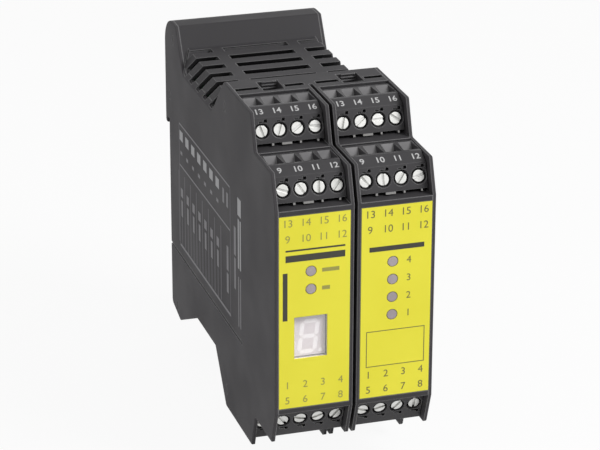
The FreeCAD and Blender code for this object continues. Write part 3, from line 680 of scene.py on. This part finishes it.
def metal(name, clean, tarnished, smooth, rough, scratch_depth=0.000004, cloud_scale=900.0):
    """Plated metal, duller where it is tarnished, with fine scratches."""
    material, tree, shader = new_material(name)
    shader.inputs["Metallic"].default_value = 1.0
    wear = place_group(tree, worn_metal, Cloud_Scale=cloud_scale)
    edge = place_group(tree, rounded_rim, Radius=0.00012)
    colour = mix_colour(tree, wear.outputs["Tarnish"], clean, tarnished)
    tree.links.new(colour, shader.inputs["Base Color"])
    dullness = spread(tree, wear.outputs["Tarnish"], smooth, rough)
    tree.links.new(dullness, shader.inputs["Roughness"])
    bump = tree.nodes.new("ShaderNodeBump")
    bump.inputs["Distance"].default_value = scratch_depth
    bump.inputs["Strength"].default_value = 0.6
    tree.links.new(wear.outputs["Scratches"], bump.inputs["Height"])
    tree.links.new(edge.outputs["Normal"], bump.inputs["Normal"])
    tree.links.new(bump.outputs["Normal"], shader.inputs["Normal"])
    return material


screw_zinc = metal(
    "screw_zinc", (0.88, 0.88, 0.86), (0.42, 0.42, 0.40), 0.25, 0.5, scratch_depth=0.00002,
    cloud_scale=420.0,
)
cage_metal = metal("cage_metal", (0.70, 0.64, 0.46), (0.52, 0.46, 0.31), 0.25, 0.5)
pin_metal = metal("pin_metal", (0.80, 0.77, 0.66), (0.62, 0.58, 0.46), 0.2, 0.4)
dress(screw_zinc, *like("terminal_screws"))
dress(cage_metal, *like("clamp_cages"))
dress(pin_metal, *like("contact_pins"))

white_ink = ink_material("white_ink", (0.46, 0.46, 0.46), 0.5)
# painted highlight: the pale grey of the bars in the plugs' ledges
ledge_highlight_grey = ink_material("ledge_highlight_grey", (0.24, 0.235, 0.23), 0.4)
pole_pitch = 0.0050125
strip_foot = Vector((0, 0.0026, -0.0019))   # numbered strip, from a plug's upper front edge
strip_head = Vector((0, 0.0064, 0))
strip_up = (strip_head - strip_foot).normalized()
strip_figure = 0.0019
strip_weight = 0.00005
face_up = Vector((0, 0.0026, 0.0073)).normalized()
highlight_bar_height = 0.0006
highlight_bar_places = ((-0.95, 0.0006), (-0.16, 0.0028), (0.61, 0.0005), (1.59, 0.0005))   # pitches, width


def number_poles(name, first):
    """White numbers on the strip of one upper plug."""
    low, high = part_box("terminal_plug_" + name)
    edge = Vector(((low.x + high.x) / 2, low.y, high.z))
    line = edge + (strip_foot + strip_head) / 2 + right_way.cross(strip_up) * print_lift
    figures = bmesh.new()
    for pole in range(poles):
        place = line + right_way * pole_place(pole, pole_pitch)
        words = str(first + pole)
        put_text(figures, words, strip_figure, place, right_way, strip_up, strip_weight)
    finish_piece(
        figures, "pole_numbers_" + name, white_ink, "plug_" + name
    )


def paint_ledge_highlights(name):
    """Pale bars in the ledge of one upper plug: a painted highlight where its posts catch the
    light.
    """
    low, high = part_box("terminal_plug_" + name)
    foot = Vector(((low.x + high.x) / 2, low.y, low.z)) + face_up * (highlight_bar_height / 2)
    foot += right_way.cross(face_up) * print_lift
    highlight_bars = bmesh.new()
    for pitches, width in highlight_bar_places:
        place = foot + right_way * (pitches * pole_pitch)
        rectangle(highlight_bars, place, right_way, face_up, width, highlight_bar_height)
    finish_piece(highlight_bars, "ledge_highlights_" + name, ledge_highlight_grey, "plug_" + name)


for side in ("left", "right"):
    for row, first in (("front", 9), ("rear", 13)):
        number_poles(side + "_top_" + row, first)
        paint_ledge_highlights(side + "_top_" + row)


# ---- Inside ----
# Two main boards along the covers, with the relays, the converter and the chips on them, seen
# only through the vents and the light holes. Glass laminate shows its weave under the resist.

def laminate_material():
    """Green solder resist over woven glass, with a slow change of tone."""
    material, tree, shader = new_material("green_laminate")
    place = tree.nodes.new("ShaderNodeTexCoord").outputs["Object"]
    heights = []
    for direction in ("Y", "Z"):
        wave = tree.nodes.new("ShaderNodeTexWave")
        wave.bands_direction = direction
        wave.inputs["Scale"].default_value = 320.0
        wave.inputs["Distortion"].default_value = 0.6
        tree.links.new(place, wave.inputs["Vector"])
        heights.append(wave.outputs["Fac"])
    weave = maths(tree, "MULTIPLY", *heights)
    bump = tree.nodes.new("ShaderNodeBump")
    bump.inputs["Distance"].default_value = 0.00002
    tree.links.new(weave, bump.inputs["Height"])
    tree.links.new(bump.outputs["Normal"], shader.inputs["Normal"])
    clouds = noise(tree, place, 240.0, detail=3.0, rough=0.6)
    colour = mix_colour(tree, clouds.outputs["Fac"], (0.03, 0.15, 0.06), (0.06, 0.24, 0.10))
    tree.links.new(colour, shader.inputs["Base Color"])
    tree.links.new(spread(tree, weave, 0.28, 0.42), shader.inputs["Roughness"])
    return material


dress(laminate_material(), *like("main_board"), *like("front_board"))
header_plastic = plastic(
    "header_plastic", (0.020, 0.020, 0.021), (0.026, 0.026, 0.027), (0.06, 0.06, 0.06), 0.35,
    grain_scale=4200.0, grain_depth=0.00001,
)
dress(header_plastic, *like("pin_header"), "board_link")
relay_case = plastic(
    "relay_case", (0.150, 0.150, 0.160), (0.180, 0.180, 0.190), (0.30, 0.30, 0.31), 0.4,
    grain_scale=3600.0, grain_depth=0.00001,
)
dress(relay_case, *like("output_relay"))
chip_epoxy = plastic(
    "chip_epoxy", (0.022, 0.022, 0.023), (0.034, 0.034, 0.035), (0.05, 0.05, 0.05), 0.6,
    grain_scale=8000.0, grain_depth=0.00002, radius=0.0001,
)
dress(chip_epoxy, *like("controller_chip"))
varnished_coil = plastic(
    "varnished_coil", (0.16, 0.10, 0.06), (0.25, 0.17, 0.11), (0.32, 0.24, 0.16), 0.3,
    grain_scale=1400.0, grain_depth=0.00003,
)
dress(varnished_coil, "power_converter")
can_sleeve = plastic(
    "can_sleeve", (0.030, 0.040, 0.100), (0.045, 0.058, 0.140), (0.10, 0.12, 0.20), 0.22,
    grain_scale=1200.0, grain_depth=0.000008,
)
dress(can_sleeve, *like("capacitor"))


# ---- Rail latch ----
# A sliding foot moulded in glossy charcoal plastic, with its rims painted paler as a highlight.
# The coil spring in its pocket is wound from drawn steel wire and stands on the housing's ledge.

latch_plastic = plastic(
    "latch_plastic", (0.044, 0.043, 0.045), (0.055, 0.054, 0.056), (0.13, 0.128, 0.13), 0.42,
    gloss=0.4, radius=0.0004,
)
dress(latch_plastic, "rail_latch")
spring_steel = metal(
    "spring_steel", (0.60, 0.61, 0.63), (0.42, 0.42, 0.43), 0.25, 0.4, scratch_depth=0.000006,
    cloud_scale=1600.0,
)


def new_tree(name, inputs):
    """Geometry node tree with named inputs, given as (name, kind, default)."""
    tree = bpy.data.node_groups.new(name, "GeometryNodeTree")
    for label, kind, value in inputs:
        socket = tree.interface.new_socket(label, in_out="INPUT", socket_type=kind)
        if value is not None:
            socket.default_value = value
    tree.interface.new_socket("Geometry", in_out="OUTPUT", socket_type="NodeSocketGeometry")
    return tree, tree.nodes.new("NodeGroupInput").outputs


def end_tree(tree, geometry, finish):
    """Ends a tree in plain geometry with its finish."""
    real = tree.nodes.new("GeometryNodeRealizeInstances")
    finished = tree.nodes.new("GeometryNodeSetMaterial")
    leave = tree.nodes.new("NodeGroupOutput")
    tree.links.new(geometry, real.inputs["Geometry"])
    tree.links.new(real.outputs["Geometry"], finished.inputs["Geometry"])
    tree.links.new(finish, finished.inputs["Material"])
    tree.links.new(finished.outputs["Geometry"], leave.inputs["Geometry"])


def coil_tree():
    """Geometry nodes: a wire coil standing up in Z from the origin."""
    tree, entry = new_tree("wire_coil", (
        ("Radius", "NodeSocketFloat", 0.00195),
        ("Height", "NodeSocketFloat", 0.0105),
        ("Turns", "NodeSocketFloat", 6.0),
        ("Wire", "NodeSocketFloat", 0.00025),
        ("Finish", "NodeSocketMaterial", None),
    ))
    line = tree.nodes.new("GeometryNodeCurveSpiral")
    line.inputs["Resolution"].default_value = 40
    ring = tree.nodes.new("GeometryNodeCurvePrimitiveCircle")
    ring.inputs["Resolution"].default_value = 12
    sweep = tree.nodes.new("GeometryNodeCurveToMesh")
    sweep.inputs["Fill Caps"].default_value = True
    join = tree.links.new
    join(entry["Turns"], line.inputs["Rotations"])
    join(entry["Radius"], line.inputs["Start Radius"])
    join(entry["Radius"], line.inputs["End Radius"])
    join(entry["Height"], line.inputs["Height"])
    join(entry["Wire"], ring.inputs["Radius"])
    join(line.outputs["Curve"], sweep.inputs["Curve"])
    join(ring.outputs["Curve"], sweep.inputs["Profile Curve"])
    end_tree(tree, sweep.outputs["Mesh"], entry["Finish"])
    return tree


def grow(name, tree, values):
    """An object with the mesh that a node tree makes, and no modifier left on it."""
    holder = add_to_scene(bpy.data.meshes.new(name), name)
    modifier = holder.modifiers.new("grow", "NODES")
    modifier.node_group = tree
    for item in tree.interface.items_tree:
        if item.in_out == "INPUT" and item.name in values:
            modifier[item.identifier] = values[item.name]
    bpy.context.view_layer.update()
    seen = holder.evaluated_get(bpy.context.evaluated_depsgraph_get())
    mesh = bpy.data.meshes.new_from_object(seen)
    mesh.name = name
    holder.modifiers.remove(modifier)
    holder.data = mesh
    return holder


spring_low, spring_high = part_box("latch_spring")
wire_half = 0.00025
spring_turns = 6.0
spring_height = spring_high.z - spring_low.z
coil = grow("latch_spring_coil", coil_tree(), {
    "Radius": (spring_high.x - spring_low.x) / 2 - wire_half,
    "Height": spring_height - 2 * wire_half,
    "Turns": spring_turns,
    "Wire": wire_half,
    "Finish": spring_steel,
})
coil.data.transform(Matrix.Translation((
    (spring_low.x + spring_high.x) / 2,
    (spring_low.y + spring_high.y) / 2,
    spring_low.z + wire_half,
)))
for face in coil.data.polygons:
    face.use_smooth = True
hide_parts("latch_spring")
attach(coil, "housing")
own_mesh(coil)


# ---- Side print ----
# The left cover carries a scheme printed in pale ink: a framed table of columns, and narrow
# columns of notes in front of it. Plain bars stand in place of words, and one small node tree
# makes each row of them.

def row_tree():
    """Geometry nodes: a row of equal flat bars along X, standing up in Y."""
    tree, entry = new_tree("print_row", (
        ("Count", "NodeSocketInt", 8),
        ("Pitch", "NodeSocketFloat", 0.00665),
        ("Width", "NodeSocketFloat", 0.004),
        ("Height", "NodeSocketFloat", 0.003),
        ("Ink", "NodeSocketMaterial", None),
    ))
    step = tree.nodes.new("ShaderNodeCombineXYZ")
    line = tree.nodes.new("GeometryNodeMeshLine")
    bar = tree.nodes.new("GeometryNodeMeshGrid")
    bar.inputs["Vertices X"].default_value = 2
    bar.inputs["Vertices Y"].default_value = 2
    copies = tree.nodes.new("GeometryNodeInstanceOnPoints")
    join = tree.links.new
    join(entry["Pitch"], step.inputs["X"])
    join(entry["Count"], line.inputs["Count"])
    join(step.outputs[0], line.inputs["Offset"])
    join(entry["Width"], bar.inputs["Size X"])
    join(entry["Height"], bar.inputs["Size Y"])
    join(line.outputs["Mesh"], copies.inputs["Points"])
    join(bar.outputs["Mesh"], copies.inputs["Instance"])
    end_tree(tree, copies.outputs["Instances"], entry["Ink"])
    return tree


print_row = row_tree()
cover_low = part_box("side_cover_left")[0]


def printed_row(name, ink, run, level, count, pitch, width, height):
    """A row of bars on the left cover; run is the first bar's distance behind the front."""
    row = grow(name, print_row, {
        "Count": count, "Pitch": pitch, "Width": width, "Height": height, "Ink": ink,
    })
    start = Vector((cover_low.x - print_lift, cover_low.y + run, level))
    turn = Matrix(((0, 0, -1), (1, 0, 0), (0, 1, 0))).to_4x4()
    row.data.transform(Matrix.Translation(start) @ turn)
    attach(row, "housing")


bright_ink = ink_material("bright_ink", (0.34, 0.34, 0.35), 0.6)
soft_ink = ink_material("soft_ink", (0.17, 0.165, 0.175), 0.6)
faint_ink = ink_material("faint_ink", (0.085, 0.082, 0.09), 0.6)
column_pitch = 0.00665
column_run = 0.05665        # first column of the table, behind the cover's front
line_run = column_run - column_pitch / 2    # lines between the columns
last_run = 0.0464           # narrow columns in front of the table
frame_run = 0.0712          # middle of the lines across the table
notes_run = 0.0332          # pair of narrow lines of notes, nearest the front
second_run = 0.0387         # short notes between them and the table
for name, ink, run, level, count, pitch, width, height in (
    ("scheme_names", bright_ink, column_run, 0.0171, 7, column_pitch, 0.0036, 0.0030),
    ("scheme_marks", soft_ink, column_run, 0.0117, 7, column_pitch, 0.0022, 0.0011),
    ("scheme_signs", soft_ink, column_run, -0.0010, 7, column_pitch, 0.0026, 0.0028),
    ("scheme_strokes", soft_ink, column_run, -0.0061, 7, column_pitch, 0.0018, 0.0052),
    ("scheme_lines", faint_ink, line_run, -0.0062, 8, column_pitch, 0.0007, 0.0230),
    ("scheme_lines_thin", faint_ink, column_run, -0.0135, 7, column_pitch, 0.0006, 0.0090),
    ("scheme_last", soft_ink, last_run, 0.0156, 2, 0.0040, 0.0018, 0.0044),
    ("scheme_last_strokes", soft_ink, last_run, -0.0020, 1, column_pitch, 0.0019, 0.0074),
    ("scheme_last_foot", soft_ink, last_run, -0.0096, 1, column_pitch, 0.0019, 0.0060),
    ("notes_head", bright_ink, 0.0342, 0.0179, 1, column_pitch, 0.0034, 0.0052),
    ("notes_lines", bright_ink, notes_run, 0.0068, 2, 0.0019, 0.0012, 0.0148),
    ("notes_second", soft_ink, second_run, 0.0063, 1, column_pitch, 0.0020, 0.0086),
    ("notes_second_foot", soft_ink, second_run, -0.0035, 1, column_pitch, 0.0016, 0.0094),
    ("notes_tail", soft_ink, notes_run, -0.0107, 2, 0.0019, 0.0009, 0.0152),
    ("scheme_cross_line", soft_ink, frame_run, 0.0075, 1, column_pitch, 0.0550, 0.0005),
    ("scheme_top_line", soft_ink, frame_run, 0.0205, 1, column_pitch, 0.0550, 0.0005),
    ("scheme_bottom_line", soft_ink, frame_run, -0.0184, 1, column_pitch, 0.0560, 0.0008),
    ("scheme_sides", faint_ink, 0.0434, 0.0010, 2, 0.0555, 0.0005, 0.0385),
):
    printed_row(name, ink, run, level, count, pitch, width, height)
